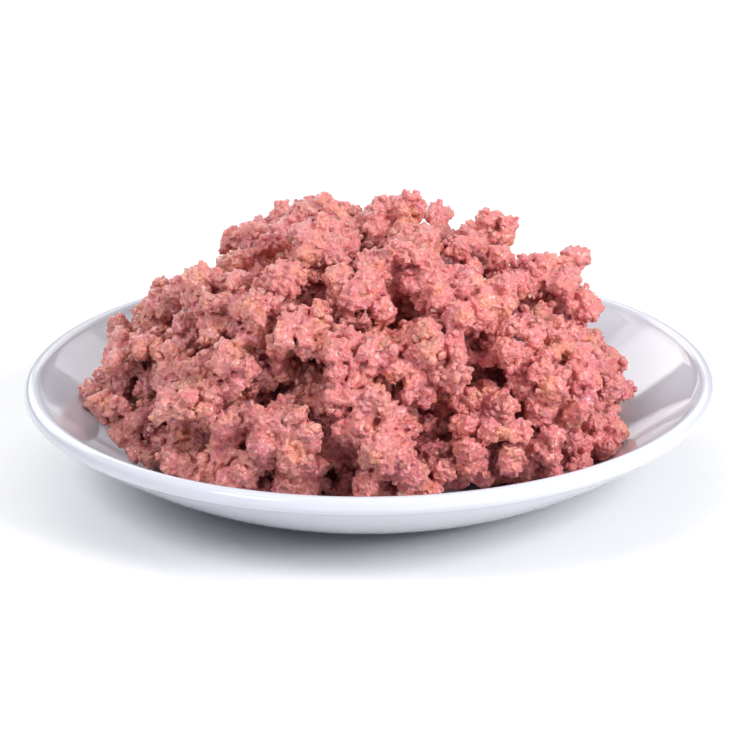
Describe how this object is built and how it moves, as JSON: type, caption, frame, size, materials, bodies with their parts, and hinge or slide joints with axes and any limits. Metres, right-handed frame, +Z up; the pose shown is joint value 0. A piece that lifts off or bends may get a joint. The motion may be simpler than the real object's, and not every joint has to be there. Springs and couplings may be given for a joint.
{
  "type": "plate of minced dog food",
  "caption": "White glazed coupe plate holding a tall heap of moist, crumbly, pinkish minced dog food.",
  "frame": {"origin": "middle of the foot ring, at the level of the table", "axes": "+Z up, +X to the right of the heap seen from its front, -Y the front"},
  "size_m": [0.21, 0.21, 0.0872],
  "materials": {
    "glaze": "glossy white glaze over porcelain, smooth and slightly cool",
    "mince": "moist coarse mince, rose pink with brown and pale flecks, slightly glistening"
  },
  "bodies": {
    "root": {"plate": "glaze", "meat_heap": "mince"}
  },
  "joints": []
}
